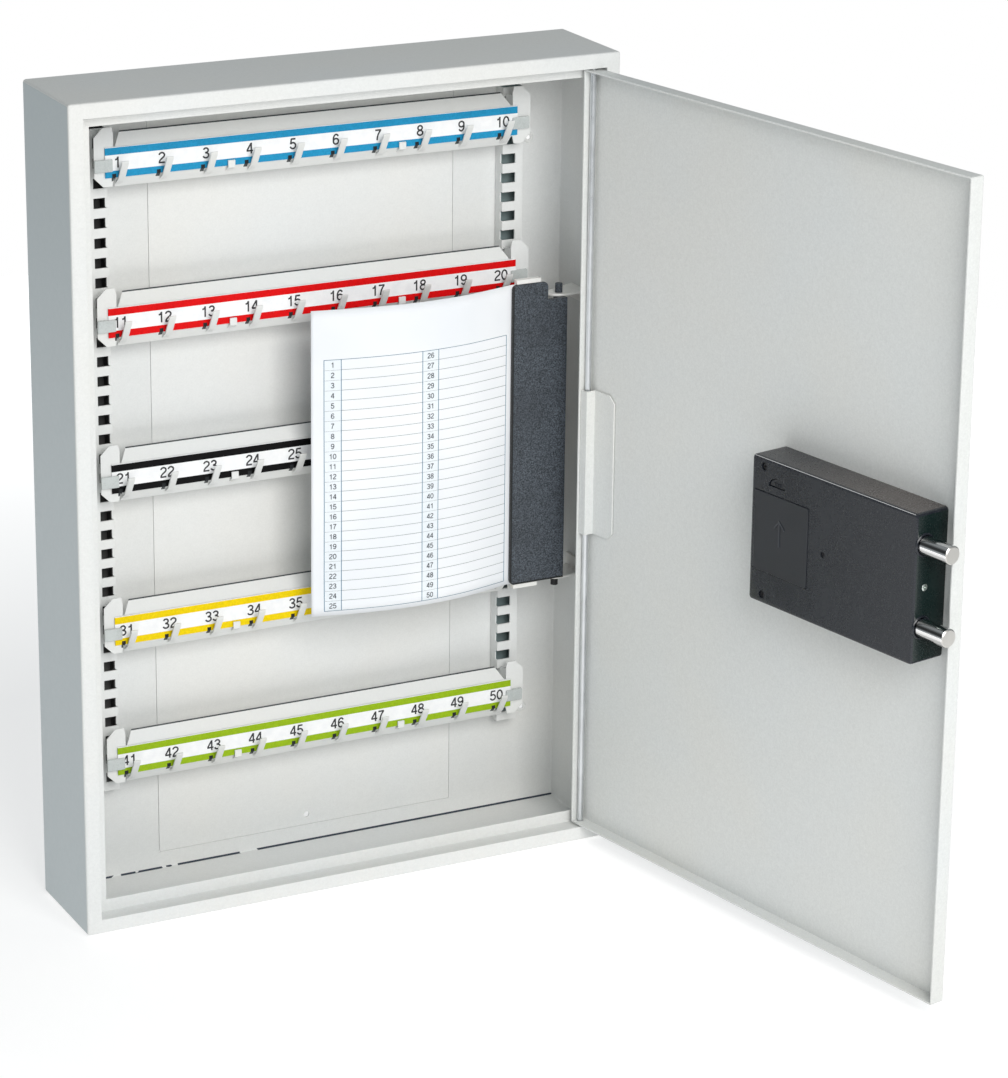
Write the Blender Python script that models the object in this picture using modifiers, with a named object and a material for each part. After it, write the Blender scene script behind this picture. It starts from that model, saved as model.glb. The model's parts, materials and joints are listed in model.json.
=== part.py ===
"""Wall-hung key cabinet with an electronic lock, door open.

Bent sheet-steel housing with a welded back panel, two slotted rails, five key
bars with lanced hooks and label strips, a swinging key register, and a door
pan on a through rod. The lock sits on the inner side of the door; its knob
draws two bolts through a Scotch yoke.

X runs to the right, -Y is the front, Z is up. The origin is the centre of
the back face, which is the plane Y = 0. Sizes below are in millimetres.
"""

import math

import bmesh
import bpy
from mathutils import Matrix, Vector

MM = 0.001

# ---- housing -------------------------------------------------------------
HALF_W, HALF_H, DEPTH = 190.0, 275.0, 80.0
SHEET = 1.2
BAND = 10.0                 # front band round the door opening
REBATE_Y = -67.8            # front face of the stop flange
STOP = 8.0                  # width of the stop flange
BACK_X = 108.3              # back opening, half width
BACK_Z = (-262.3, 250.3)
CORNER = 2.0
WALL_HOLE = (164.0, 203.5, 3.5)

# ---- rails and bars --------------------------------------------------------
RAIL_X, RAIL_W, RAIL_Y = 147.0, 15.0, -12.0
RAIL_Z = (-206.4, 241.5)
SLOT_TOP, SLOT_PITCH, SLOTS, SLOT_H, SLOT_REACH = 232.2, 13.0, 34, 6.7, 9.5
BAR_Z = (225.7, 121.7, 17.7, -86.3, -177.3)
BAR_Y, BAR_T = -25.0, 1.0
BAR_END = 153.0
LABEL_X = (-146.0, 143.0)
LABEL_Z = (-13.1, 6.4)
HOOKS, HOOK_X0, HOOK_PITCH, HOOK_W = 10, -136.0, 30.0, 4.6

# ---- register --------------------------------------------------------------
REG_X, REG_Y = 169.5, -37.5
EAR_TOP, EAR_LOW = (104.0, 105.5), (-95.5, -94.0)
PLATE_X, PLATE_Z = (131.0, 157.0, 171.5), (-93.7, 116.0)
PLATE_Y = (-46.5, -44.0)
SHEET_X = (-15.0, 137.0)
SHEET_BULGE = 10.5

# ---- door ------------------------------------------------------------------
AXIS_X, AXIS_Y = 173.0, -74.5
AXIS_V = 5.0                # the axis lies this far in front of the flange edge
OPEN_DEG = 101.0
DOOR_U = (-3.8, 351.8)
DOOR_H = 263.5
DOOR_V = 10.5
ROD_R = 2.0

# ---- lock ------------------------------------------------------------------
CASE_U, CASE_Z, CASE_V, CASE_T = (189.5, 337.0), (-39.0, 57.0), (-17.0, 9.0), 1.6
BOLT_Z, BOLT_V, BOLT_R, BOLT_TIP = (36.5, -16.0), -9.3, 6.0, 361.0
CAM_U, CAM_Z, CAM_R = 275.0, 10.0, 12.73
COVER_U, COVER_Z = (193.0, 243.0), (-17.5, 35.0)
PAD_U, PAD_Z, PAD_V = (238.0, 312.0), (-20.0, 104.0), (10.8, 21.0)
KEY_U, KEY_Z, KEY_SIZE = (255.0, 275.0, 295.0), (90.0, 76.0, 62.0, 48.0), (14.0, 9.6)

for old in list(bpy.data.objects):
    bpy.data.objects.remove(old, do_unlink=True)

parts = bpy.data.collections.new("key_cabinet")
cutters = bpy.data.collections.new("cutters")
bpy.context.scene.collection.children.link(parts)
bpy.context.scene.collection.children.link(cutters)


def material(name, rgb, roughness, metallic=0.0):
    made = bpy.data.materials.new(name)
    made.use_nodes = True
    shader = made.node_tree.nodes["Principled BSDF"]
    shader.inputs["Base Color"].default_value = (*rgb, 1.0)
    shader.inputs["Roughness"].default_value = roughness
    shader.inputs["Metallic"].default_value = metallic
    return made


PAINT = material("light_grey_paint", (0.66, 0.67, 0.65), 0.55)
DOOR_PAINT = material("door_grey_paint", (0.62, 0.64, 0.62), 0.5)
STEEL = material("bright_steel", (0.72, 0.74, 0.76), 0.3, 1.0)
CHROME = material("chrome", (0.86, 0.86, 0.88), 0.1, 1.0)
LOCK_BLACK = material("anthracite_plastic", (0.045, 0.047, 0.052), 0.35)
KEY_GREY = material("keypad_grey", (0.35, 0.36, 0.38), 0.45)
LEATHER = material("black_grain", (0.02, 0.021, 0.024), 0.5)
PAPER = material("paper", (0.9, 0.91, 0.93), 0.8)
CLEAR = material("grey_clear_plastic", (0.55, 0.58, 0.57), 0.3)
RED = material("red_plastic", (0.7, 0.05, 0.04), 0.35)
GREEN = material("board_green", (0.03, 0.2, 0.08), 0.5)
CELL = material("battery_wrap", (0.08, 0.09, 0.1), 0.35)
BANDS = [
    material("label_blue", (0.05, 0.3, 0.62), 0.5),
    material("label_red", (0.75, 0.03, 0.03), 0.5),
    material("label_black", (0.02, 0.02, 0.02), 0.5),
    material("label_yellow", (0.85, 0.66, 0.02), 0.5),
    material("label_green", (0.45, 0.6, 0.05), 0.5),
]

# The hinge axis carries the door; its local x is u, y is v less the axis's own v.
hinge_axis = bpy.data.objects.new("door_axis", None)
hinge_axis.location = (AXIS_X * MM, AXIS_Y * MM, 0)
hinge_axis.rotation_euler = (0, 0, math.radians(180 + OPEN_DEG))
parts.objects.link(hinge_axis)
register_axis = bpy.data.objects.new("register_axis", None)
register_axis.location = (REG_X * MM, REG_Y * MM, 0)
parts.objects.link(register_axis)
knob_axis = bpy.data.objects.new("knob_axis", None)
knob_axis.parent = hinge_axis
knob_axis.location = (CAM_U * MM, 0, CAM_Z * MM)
parts.objects.link(knob_axis)
bpy.context.view_layer.update()


def add(name, mesh, group, paint=None, parent=None, at=(0, 0, 0), matrix=None):
    """Links a mesh as an object. `at` is its origin in its parent's space, in mm."""
    obj = bpy.data.objects.new(name, mesh)
    group.objects.link(obj)
    obj.parent = parent
    obj.matrix_local = Matrix.Translation(Vector(at) * MM) @ (matrix or Matrix())
    if paint is not None and not mesh.materials:
        mesh.materials.append(paint)
    if group is cutters:
        obj.hide_render = True
        obj.display_type = "WIRE"
    return obj


def mesh_of(bm, name):
    bmesh.ops.recalc_face_normals(bm, faces=bm.faces)
    mesh = bpy.data.meshes.new(name)
    bm.to_mesh(mesh)
    bm.free()
    return mesh


def smooth(obj, angle=30):
    obj.data.shade_smooth()
    obj.data.set_sharp_from_angle(angle=math.radians(angle))
    return obj


def cube_into(bm, lo, hi, shift=(0, 0, 0)):
    """Adds a box from corner lo to corner hi and returns its vertices."""
    lo, hi, shift = Vector(lo), Vector(hi), Vector(shift)
    size, mid = (hi - lo) * MM, ((hi + lo) / 2 - shift) * MM
    made = bmesh.ops.create_cube(bm, size=1.0)["verts"]
    bmesh.ops.scale(bm, vec=size, verts=made)
    bmesh.ops.translate(bm, vec=mid, verts=made)
    return made


def box(name, lo, hi, group=parts, paint=None, parent=None, at=(0, 0, 0), round_by=0.0, axis=None, segments=1):
    """A box whose edges, or only those along `axis`, are rounded."""
    bm = bmesh.new()
    cube_into(bm, lo, hi, at)
    if round_by:
        edges = [
            e for e in bm.edges
            if axis is None or abs((e.verts[0].co - e.verts[1].co).normalized()[axis]) > 0.9
        ]
        bmesh.ops.bevel(bm, geom=edges, offset=round_by * MM, segments=segments, profile=0.5, affect="EDGES")
    return add(name, mesh_of(bm, name), group, paint, parent, at)


def rod_into(bm, centre, radius, length, axis, sides=24, tip=None):
    """A cylinder centred at `centre`, running along axis 0, 1 or 2."""
    turn = {0: Matrix.Rotation(math.radians(90), 4, "Y"), 1: Matrix.Rotation(math.radians(-90), 4, "X"), 2: Matrix()}[axis]
    place = Matrix.Translation(Vector(centre) * MM) @ turn
    return bmesh.ops.create_cone(
        bm, cap_ends=True, segments=sides, radius1=radius * MM,
        radius2=(radius if tip is None else tip) * MM, depth=length * MM, matrix=place)["verts"]


def cylinder(name, centre, radius, length, axis, group=parts, paint=None, parent=None, at=(0, 0, 0), sides=24, chamfer=0.0):
    bm = bmesh.new()
    rod_into(bm, Vector(centre) - Vector(at), radius, length, axis, sides)
    if chamfer:
        rims = [e for e in bm.edges if len(e.link_faces) == 2 and any(len(f.verts) > 4 for f in e.link_faces)]
        bmesh.ops.bevel(bm, geom=rims, offset=chamfer * MM, segments=1, affect="EDGES")
    return smooth(add(name, mesh_of(bm, name), group, paint, parent, at))


PLANES = {
    # An outline's x and y become these axes, and its thickness the third.
    "XZ": Matrix(((1, 0, 0, 0), (0, 0, -1, 0), (0, 1, 0, 0), (0, 0, 0, 1))),
    "XY": Matrix(),
    "YZ": Matrix(((0, 0, 1, 0), (1, 0, 0, 0), (0, 1, 0, 0), (0, 0, 0, 1))),
}


def prism_mesh(name, loops, plane, lo, hi):
    """A flat outline, with any further loops as holes, filled and extruded from lo to hi."""
    curve = bpy.data.curves.new(name, "CURVE")
    curve.dimensions = "2D"
    curve.fill_mode = "BOTH"
    curve.extrude = (hi - lo) / 2 * MM
    for loop in loops:
        spline = curve.splines.new("POLY")
        spline.points.add(len(loop) - 1)
        spline.use_cyclic_u = True
        for point, (a, b) in zip(spline.points, loop):
            point.co = (a * MM, b * MM, 0, 1)
    holder = bpy.data.objects.new(name + "_outline", curve)
    cutters.objects.link(holder)
    bpy.context.view_layer.update()
    mesh = bpy.data.meshes.new_from_object(holder.evaluated_get(bpy.context.evaluated_depsgraph_get()))
    bpy.data.objects.remove(holder, do_unlink=True)
    bpy.data.curves.remove(curve)
    middle = Vector({"XZ": (0, (lo + hi) / 2, 0), "XY": (0, 0, (lo + hi) / 2), "YZ": ((lo + hi) / 2, 0, 0)}[plane])
    bm = bmesh.new()
    bm.from_mesh(mesh)
    bmesh.ops.remove_doubles(bm, verts=bm.verts, dist=1e-6)
    bmesh.ops.transform(bm, matrix=Matrix.Translation(middle * MM) @ PLANES[plane], verts=bm.verts)
    bpy.data.meshes.remove(mesh)
    return mesh_of(bm, name)


def prism(name, loops, plane, lo, hi, group=parts, paint=None, parent=None, at=(0, 0, 0)):
    mesh = prism_mesh(name, loops, plane, lo, hi)
    mesh.transform(Matrix.Translation(Vector(at) * -MM))
    return add(name, mesh, group, paint, parent, at)


def joined(name, meshes, group=cutters, parent=None):
    """Several meshes as the separate bodies of one object."""
    bm = bmesh.new()
    for mesh in meshes:
        bm.from_mesh(mesh)
    return add(name, mesh_of(bm, name), group, None, parent)


def combine(obj, other, operation):
    step = obj.modifiers.new(operation.lower() + "_" + other.name, "BOOLEAN")
    step.operation = operation
    step.solver = "EXACT"
    step.object = other
    return obj


def baked(name, obj, paint, extra=()):
    """The evaluated mesh of a finished shape, ready to be shared by its copies."""
    bpy.context.view_layer.update()
    mesh = bpy.data.meshes.new_from_object(obj.evaluated_get(bpy.context.evaluated_depsgraph_get()))
    mesh.name = name
    mesh.materials.clear()
    mesh.materials.append(paint)
    for used in (obj, *extra):
        bpy.data.objects.remove(used, do_unlink=True)
    return mesh


def circle(cx, cy, radius, sides=16):
    return [(cx + radius * math.cos(2 * math.pi * k / sides), cy + radius * math.sin(2 * math.pi * k / sides)) for k in range(sides)]


def rounded_rect(x0, x1, y0, y1, radius, steps=3):
    points = []
    for cx, cy, start in ((x1 - radius, y1 - radius, 0), (x0 + radius, y1 - radius, 90), (x0 + radius, y0 + radius, 180), (x1 - radius, y0 + radius, 270)):
        for k in range(steps + 1):
            angle = math.radians(start + 90 * k / steps)
            points.append((cx + radius * math.cos(angle), cy + radius * math.sin(angle)))
    return points


def rods_cutter(name, rods, parent=None, sides=16):
    bm = bmesh.new()
    for centre, radius, length, axis in rods:
        rod_into(bm, centre, radius, length, axis, sides)
    return add(name, mesh_of(bm, name), cutters, None, parent)


def boxes_cutter(name, boxes, parent=None):
    bm = bmesh.new()
    for lo, hi in boxes:
        cube_into(bm, lo, hi)
    return add(name, mesh_of(bm, name), cutters, None, parent)


# ---- housing: one folded surface, thickened inwards -------------------------
def fold_rings(bm, rings):
    """Folds a surface outwards from an opening: each ring is drawn out of the one before."""
    start = bmesh.ops.create_grid(bm, x_segments=1, y_segments=1, size=1.0)["verts"]
    bmesh.ops.delete(bm, geom=list(bm.faces), context="FACES_ONLY")
    edges = list(bm.edges)

    def place(verts, ring):
        x0, x1, z0, z1, y = ring
        for v in verts:
            v.co = Vector(((x0, x1)[v.co.x > 0] * MM, y * MM, (z0, z1)[(v.co.z if abs(v.co.z) > 1e-9 else v.co.y) > 0] * MM))

    place(start, rings[0])
    for ring in rings[1:]:
        made = bmesh.ops.extrude_edge_only(bm, edges=edges)["geom"]
        verts = [g for g in made if isinstance(g, bmesh.types.BMVert)]
        edges = [g for g in made if isinstance(g, bmesh.types.BMEdge) and all(v in verts for v in g.verts)]
        x0, x1, z0, z1, y = ring
        for v in verts:
            v.co = Vector(((x0, x1)[v.co.x > 0] * MM, y * MM, (z0, z1)[v.co.z > 0] * MM))


bm = bmesh.new()
inner = (HALF_W - BAND, HALF_H - BAND)
fold_rings(bm, [
    (-BACK_X, BACK_X, BACK_Z[0], BACK_Z[1], 0),
    (-HALF_W, HALF_W, -HALF_H, HALF_H, 0),
    (-HALF_W, HALF_W, -HALF_H, HALF_H, -DEPTH),
    (-inner[0], inner[0], -inner[1], inner[1], -DEPTH),
    (-inner[0], inner[0], -inner[1], inner[1], REBATE_Y),
    (-inner[0] + STOP, inner[0] - STOP, -inner[1] + STOP, inner[1] - STOP, REBATE_Y),
])
outer = [
    e for e in bm.edges
    if all(abs(abs(v.co.x) - HALF_W * MM) < 1e-7 and abs(abs(v.co.z) - HALF_H * MM) < 1e-7 for v in e.verts)
    or (len({round(v.co.y, 6) for v in e.verts}) == 1 and all(abs(abs(v.co.x) - HALF_W * MM) < 1e-7 and abs(abs(v.co.z) - HALF_H * MM) < 1e-7 for v in e.verts))
]
bmesh.ops.bevel(bm, geom=outer, offset=CORNER * MM, segments=2, profile=0.5, affect="EDGES")
bmesh.ops.recalc_face_normals(bm, faces=bm.faces)
back = min(bm.faces, key=lambda f: abs(f.calc_center_median().y) + (0 if abs(f.normal.y) > 0.9 else 1))
if back.normal.y < 0:
    bmesh.ops.reverse_faces(bm, faces=list(bm.faces))
mesh = bpy.data.meshes.new("housing_shell")
bm.to_mesh(mesh)
bm.free()
shell = smooth(add("housing_shell", mesh, parts, PAINT), 25)
thick = shell.modifiers.new("sheet", "SOLIDIFY")
thick.thickness = SHEET * MM
thick.offset = -1
thick.use_even_offset = True
hx, hz, hr = WALL_HOLE
combine(shell, rods_cutter("wall_holes", [((sx * hx, -0.6, sz * hz), hr, 6, 1) for sx in (-1, 1) for sz in (-1, 1)]), "DIFFERENCE")
combine(shell, rods_cutter("rod_holes", [((AXIS_X, AXIS_Y, sz * (inner[1] + 0.6)), ROD_R + 0.3, 6, 2) for sz in (-1, 1)]), "DIFFERENCE")

back_panel = prism(
    "back_panel",
    [rounded_rect(-BACK_X + 0.3, BACK_X - 0.3, BACK_Z[0] + 0.3, BACK_Z[1] - 0.3, 0.6, 1), circle(0, -257.7 + 3, 2.0, 12)[::-1]],
    "XZ", -SHEET, 0.0, paint=PAINT)

# ---- rails: a folded channel with a ladder of slots --------------------------
for side, name in ((-1, "rail_left"), (1, "rail_right")):
    x0, x1 = side * RAIL_X - RAIL_W / 2, side * RAIL_X + RAIL_W / 2
    y0, y1 = -SHEET - 0.3, RAIL_Y
    channel = [(x0, y0), (x0, y1), (x1, y1), (x1, y0), (x1 - SHEET, y0), (x1 - SHEET, y1 + SHEET), (x0 + SHEET, y1 + SHEET), (x0 + SHEET, y0)]
    rail = prism(name, [channel], "XY", RAIL_Z[0], RAIL_Z[1], paint=PAINT)
    inner_edge = x1 if side < 0 else x0
    slots = []
    for k in range(SLOTS):
        z = SLOT_TOP - SLOT_PITCH * k
        near, far = inner_edge - side * 1.0, inner_edge + side * SLOT_REACH
        slots.append(((min(near, far), RAIL_Y - 1, z - SLOT_H / 2), (max(near, far), RAIL_Y + 3.2, z + SLOT_H / 2)))
    combine(rail, boxes_cutter(name + "_slots", slots), "DIFFERENCE")

# ---- key bar, built about its own centre height and shared by the five ------
web = [(-BAR_END, -13.0), (-BAR_END, 13.0), (-BAR_END + 6, 19.0), (-BAR_END + 12, 19.0), (-BAR_END + 13, 15.0), (-BAR_END + 13, 6.6),
       (BAR_END - 13, 6.6), (BAR_END - 13, 15.0), (BAR_END - 12, 19.0), (BAR_END - 6, 19.0), (BAR_END, 13.0), (BAR_END, -13.0),
       (BAR_END - 6, -19.0), (BAR_END - 12, -19.0), (BAR_END - 13, -14.0), (-BAR_END + 13, -14.0), (-BAR_END + 12, -19.0), (-BAR_END + 6, -19.0)]
bar = prism("bar_web", [web], "XZ", BAR_Y, BAR_Y + BAR_T, group=cutters)
flange = prism("bar_flange", [[(-139.2, 0.0), (-133.5, 10.9), (133.5, 10.9), (139.2, 0.0)]], "XZ", 0.0, BAR_T, group=cutters)
flange.matrix_local = Matrix.Translation(Vector((0, BAR_Y, 5.9)) * MM) @ Matrix.Rotation(math.radians(-32), 4, "X")
lip = prism("bar_lip", [[(-139.2, 0.0), (139.2, 0.0), (138.0, -8.4), (-138.0, -8.4)]], "XZ", 0.0, BAR_T, group=cutters)
lip.matrix_local = Matrix.Translation(Vector((0, BAR_Y, -13.4)) * MM) @ Matrix.Rotation(math.radians(34), 4, "X")
side_meshes = []
for side in (-1, 1):
    outline = [(BAR_Y + 0.3, -13.0), (BAR_Y + 0.3, 13.0), (RAIL_Y - 0.4, 11.5)]
    for z in (6.5, -6.5):
        outline += [(RAIL_Y - 0.4, z + 2.2), (-8.6, z + 2.2), (-8.6, z - 5.4), (-10.4, z - 5.4), (-10.4, z - 3.0), (RAIL_Y - 0.4, z - 3.0)]
    outline += [(RAIL_Y - 0.4, -11.5)]
    x = side * 141.8
    side_meshes.append(prism_mesh("bar_side", [outline], "YZ", x - 0.6, x + 0.6))
sides = joined("bar_sides", side_meshes)
hook_line = [(-22.5, -18.0), (-27.9, -14.4), (-35.2, -2.8), (-35.6, -0.9), (-34.7, -0.9), (-34.3, -2.4), (-27.3, -13.5), (-22.1, -17.0)]
hook_x = [HOOK_X0 + HOOK_PITCH * k for k in range(HOOKS)]
hooks = joined("bar_hooks", [prism_mesh("hook", [hook_line], "YZ", x - HOOK_W / 2, x + HOOK_W / 2) for x in hook_x])
tab_line = [(-22.8, -17.0), (-27.6, -14.2), (-27.6, -9.6), (-26.7, -9.4), (-26.7, -13.5), (-22.6, -15.9)]
tabs = joined("bar_tabs", [prism_mesh("tab", [tab_line], "YZ", x - 2.4, x + 2.4) for x in (HOOK_X0 + 75, HOOK_X0 + 195)])
cut = boxes_cutter("bar_slots", [((x - 2.9, BAR_Y - 3, -15.6), (x + 2.9, BAR_Y + 6, -4.0)) for x in hook_x])
for piece in (flange, lip):
    combine(bar, piece, "UNION")
combine(bar, cut, "DIFFERENCE")
for piece in (sides, hooks, tabs):
    combine(bar, piece, "UNION")
bar_mesh = baked("key_bar", bar, PAINT, (flange, lip, sides, hooks, tabs, cut))

strip_source = box("strip", (LABEL_X[0], BAR_Y - 1.1, LABEL_Z[0]), (LABEL_X[1], BAR_Y - 0.3, LABEL_Z[1]), group=cutters)
strip_mesh = baked("label_strip", strip_source, PAPER)

clip_line = [(-153.6, BAR_Y - 0.3), (-153.6, BAR_Y - 2.4), (-141.5, BAR_Y - 2.4), (-141.5, BAR_Y - 1.4), (-146.6, BAR_Y - 1.4), (-146.6, BAR_Y - 0.3)]
clip_meshes = {}
for side in (-1, 1):
    line = [(-side * a - (0 if side < 0 else 2.4), b) for a, b in clip_line]
    clip_meshes[side] = prism_mesh("bar_clip", [line if side < 0 else line[::-1]], "XY", -9.0, -1.0)
    clip_meshes[side].materials.append(CLEAR)

for number, z in enumerate(BAR_Z, 1):
    add(f"key_bar_{number}", bar_mesh, parts, at=(0, 0, z))
    strip = add(f"label_strip_{number}", strip_mesh, parts, at=(0, 0, z))
    strip.material_slots[0].link = "OBJECT"
    strip.material_slots[0].material = BANDS[number - 1]
    add(f"bar_clip_{number}_left", clip_meshes[-1], parts, at=(0, 0, z))
    add(f"bar_clip_{number}_right", clip_meshes[1], parts, at=(0, 0, z))

# ---- register ----------------------------------------------------------------
WALL_IN = HALF_W - SHEET - 0.3
ear = [(WALL_IN, -20.5), (WALL_IN, -41.0), (173.5, -44.2), (167.5, -43.6), (163.0, -41.2), (161.0, -37.5), (162.4, -33.4), (166.5, -30.4)]
for name, (z0, z1), foot in (("register_bracket_top", EAR_TOP, (96.0, 104.4)), ("register_bracket_bottom", EAR_LOW, (-94.4, -86.0))):
    bracket = prism(name, [ear, circle(REG_X, REG_Y, 2.9, 16)[::-1]], "XY", z0, z1, paint=STEEL)
    combine(bracket, box(name + "_foot", (WALL_IN - 1.5, -41.0, foot[0]), (WALL_IN, -20.5, foot[1]), group=cutters), "UNION")

at = (REG_X, REG_Y, 0)
neck_z = (PLATE_Z[0], EAR_TOP[0] - 0.3)
outline = rounded_rect(PLATE_X[0], PLATE_X[1], PLATE_Z[0], PLATE_Z[1], 3.0, 3)[:-4]
outline += [(PLATE_X[2], neck_z[0]), (PLATE_X[2], neck_z[1]), (PLATE_X[1], neck_z[1])]
plate = prism("register_plate", [outline], "XZ", PLATE_Y[0], PLATE_Y[1], paint=LEATHER, parent=register_axis, at=at)
plate.matrix_local = Matrix()
# The barrel turns on the two pegs; a web joins it to the back of the plate.
barrel = [(REG_X + 3.6 * math.cos(math.radians(a)), REG_Y + 3.6 * math.sin(math.radians(a))) for a in range(-60, 241, 20)]
barrel += [(barrel[-1][0], PLATE_Y[0] + 1.2), (barrel[0][0], PLATE_Y[0] + 1.2)]
extra = [
    prism("plate_barrel", [barrel], "XY", neck_z[0] + 0.2, neck_z[1] - 0.2, group=cutters, parent=register_axis, at=at),
    cylinder("plate_pegs", (REG_X, REG_Y, (EAR_TOP[1] + EAR_LOW[0]) / 2), 2.5, EAR_TOP[1] - EAR_LOW[0] + 12, 2, group=cutters, parent=register_axis, at=at, sides=16),
]
for piece in extra:
    piece.matrix_local = Matrix()
    combine(plate, piece, "UNION")
clamp_line = [(-42.9, PLATE_Z[0] - 3.2), (-45.8, PLATE_Z[0] - 3.2), (-45.8, PLATE_Z[0] - 0.4), (-42.9, PLATE_Z[0] - 0.4),
              (-42.9, PLATE_Z[1] + 0.4), (-45.8, PLATE_Z[1] + 0.4), (-45.8, PLATE_Z[1] + 3.2), (-42.9, PLATE_Z[1] + 3.2),
              (-41.7, PLATE_Z[1] + 3.2), (-41.7, PLATE_Z[0] - 3.2)]
clamp = prism("register_clamp", [clamp_line], "YZ", 134.0, 152.0, paint=STEEL, parent=register_axis, at=at)
clamp.matrix_local = Matrix()


def paper_y(x):
    """The sheet leaves the clamp behind the plate, bows forwards and comes back."""
    if x >= PLATE_X[0]:
        return -43.35
    s = (PLATE_X[0] - x) / (PLATE_X[0] - SHEET_X[0])
    return -43.35 - SHEET_BULGE * math.sin(math.pi * s) - 2.0 * min(1.0, s * 4)


steps = 30
xs = [SHEET_X[1] + (SHEET_X[0] - SHEET_X[1]) * k / steps for k in range(steps + 1)]
front = [(x, paper_y(x) - 0.2) for x in xs]
rear = [(x, paper_y(x) + 0.2) for x in reversed(xs)]
paper = prism("register_sheet", [front + rear], "XY", PLATE_Z[0], PLATE_Z[1], paint=PAPER, parent=register_axis, at=at)
paper.matrix_local = Matrix()

# ---- hinge rod ---------------------------------------------------------------
cylinder("hinge_rod", (AXIS_X, AXIS_Y, 0), ROD_R, 536.0, 2, paint=STEEL, sides=20, chamfer=0.4)


# ---- door, in its own u, v, z about the hinge axis ---------------------------
def dv(v):
    return v - AXIS_V


bm = bmesh.new()
cube_into(bm, (DOOR_U[0], dv(0), -DOOR_H), (DOOR_U[1], dv(DOOR_V), DOOR_H))
bmesh.ops.delete(bm, geom=[f for f in bm.faces if f.normal.y < -0.9], context="FACES")
round_edges = [e for e in bm.edges if len(e.link_faces) == 2]
bmesh.ops.bevel(bm, geom=round_edges, offset=1.2 * MM, segments=2, profile=0.5, affect="EDGES")
mesh = bpy.data.meshes.new("door_panel")
bm.to_mesh(mesh)
bm.free()
door = smooth(add("door_panel", mesh, parts, DOOR_PAINT, hinge_axis), 25)
thick = door.modifiers.new("sheet", "SOLIDIFY")
thick.thickness = SHEET * MM
thick.offset = -1
thick.use_even_offset = True
combine(door, rods_cutter("door_rod_holes", [((0, 0, s * (DOOR_H - 0.6)), ROD_R + 0.4, 5, 2) for s in (-1, 1)], hinge_axis), "DIFFERENCE")
combine(door, rods_cutter("door_skin_holes", [((CAM_U, dv(9.9), CAM_Z), 5.0, 5, 1), ((CAM_U, dv(9.9), 48.0), 4.0, 5, 1)], hinge_axis), "DIFFERENCE")

leaf_line = [(-2.3, 1.0), (4.0, 1.0), (4.0, 7.8), (24.0, 7.8), (24.0, 9.0), (2.8, 9.0), (2.8, 2.2), (-2.3, 2.2)]
mesh = prism_mesh("hinge_leaf", [[(u, dv(v)) for u, v in leaf_line]], "XY", -53.5, 47.0)
bm = bmesh.new()
bm.from_mesh(mesh)
ends = [e for e in bm.edges if all(abs(v.co.x - 24 * MM) < 1e-7 for v in e.verts) and abs(e.verts[0].co.z - e.verts[1].co.z) < 1e-7]
bmesh.ops.bevel(bm, geom=ends, offset=5 * MM, segments=1, affect="EDGES")
add("hinge_leaf", mesh_of(bm, "hinge_leaf"), parts, DOOR_PAINT, hinge_axis)

# ---- lock case ---------------------------------------------------------------
bm = bmesh.new()
cube_into(bm, (CASE_U[0], dv(CASE_V[0]), CASE_Z[0]), (CASE_U[1], dv(CASE_V[1]), CASE_Z[1]))
bmesh.ops.delete(bm, geom=[f for f in bm.faces if f.normal.y > 0.9], context="FACES")
corners = [e for e in bm.edges if len(e.link_faces) == 2]
bmesh.ops.bevel(bm, geom=corners, offset=2.2 * MM, segments=2, profile=0.5, affect="EDGES")
mesh = bpy.data.meshes.new("lock_case")
bm.to_mesh(mesh)
bm.free()
case = smooth(add("lock_case", mesh, parts, LOCK_BLACK, hinge_axis), 25)
thick = case.modifiers.new("wall", "SOLIDIFY")
thick.thickness = CASE_T * MM
thick.offset = -1
thick.use_even_offset = True
face_v = CASE_V[0] + CASE_T / 2
combine(case, rods_cutter("case_side_holes", [((CASE_U[1] - 0.8, dv(BOLT_V), z), BOLT_R + 0.35, 6, 0) for z in BOLT_Z], hinge_axis, 24), "DIFFERENCE")
combine(case, rods_cutter("case_small_holes", [
    ((CASE_U[0] + 0.8, dv(-8.0), -23.0), 2.9, 6, 0),
    ((CASE_U[1] - 0.8, dv(-8.0), 9.3), 1.8, 6, 0),
    ((201.0, dv(face_v), 51.0), 2.6, 6, 1),
    ((202.0, dv(face_v), -33.0), 2.6, 6, 1),
    ((256.6, dv(face_v), 8.8), 2.0, 6, 1)], hinge_axis), "DIFFERENCE")
combine(case, boxes_cutter("case_battery_hole", [((COVER_U[0], dv(CASE_V[0] - 2), COVER_Z[0]), (COVER_U[1], dv(CASE_V[0] + 4), COVER_Z[1]))], hinge_axis), "DIFFERENCE")
notch = prism("case_notch", [[(205.5 + 15 * (0.5 + 0.5 * math.cos(math.pi * (1 + k / 10))), 40.0 + 6.0 * math.sin(math.pi * (1 - k / 10))) for k in range(11)]],
              "XZ", dv(CASE_V[0] - 2), dv(CASE_V[0] + 4), group=cutters, parent=hinge_axis)
combine(case, notch, "DIFFERENCE")

cover = box("battery_cover", (COVER_U[0] + 0.3, dv(CASE_V[0] - 0.5), COVER_Z[0] + 0.3), (COVER_U[1] - 0.3, dv(CASE_V[0] + 1.3), COVER_Z[1] - 0.3),
            paint=LOCK_BLACK, parent=hinge_axis, round_by=1.0, axis=1)
for k, (z, v) in enumerate(((-9.5, -7.9), (2.5, 0.7), (14.5, -7.9), (26.5, 0.7)), 1):
    cylinder(f"battery_{k}", (217.0, dv(v), z), 7.0, 49.0, 0, paint=CELL, parent=hinge_axis, sides=20)
box("circuit_board", (193.0, dv(3.0), -36.0), (262.0, dv(4.6), -20.0), paint=GREEN, parent=hinge_axis)

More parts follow.
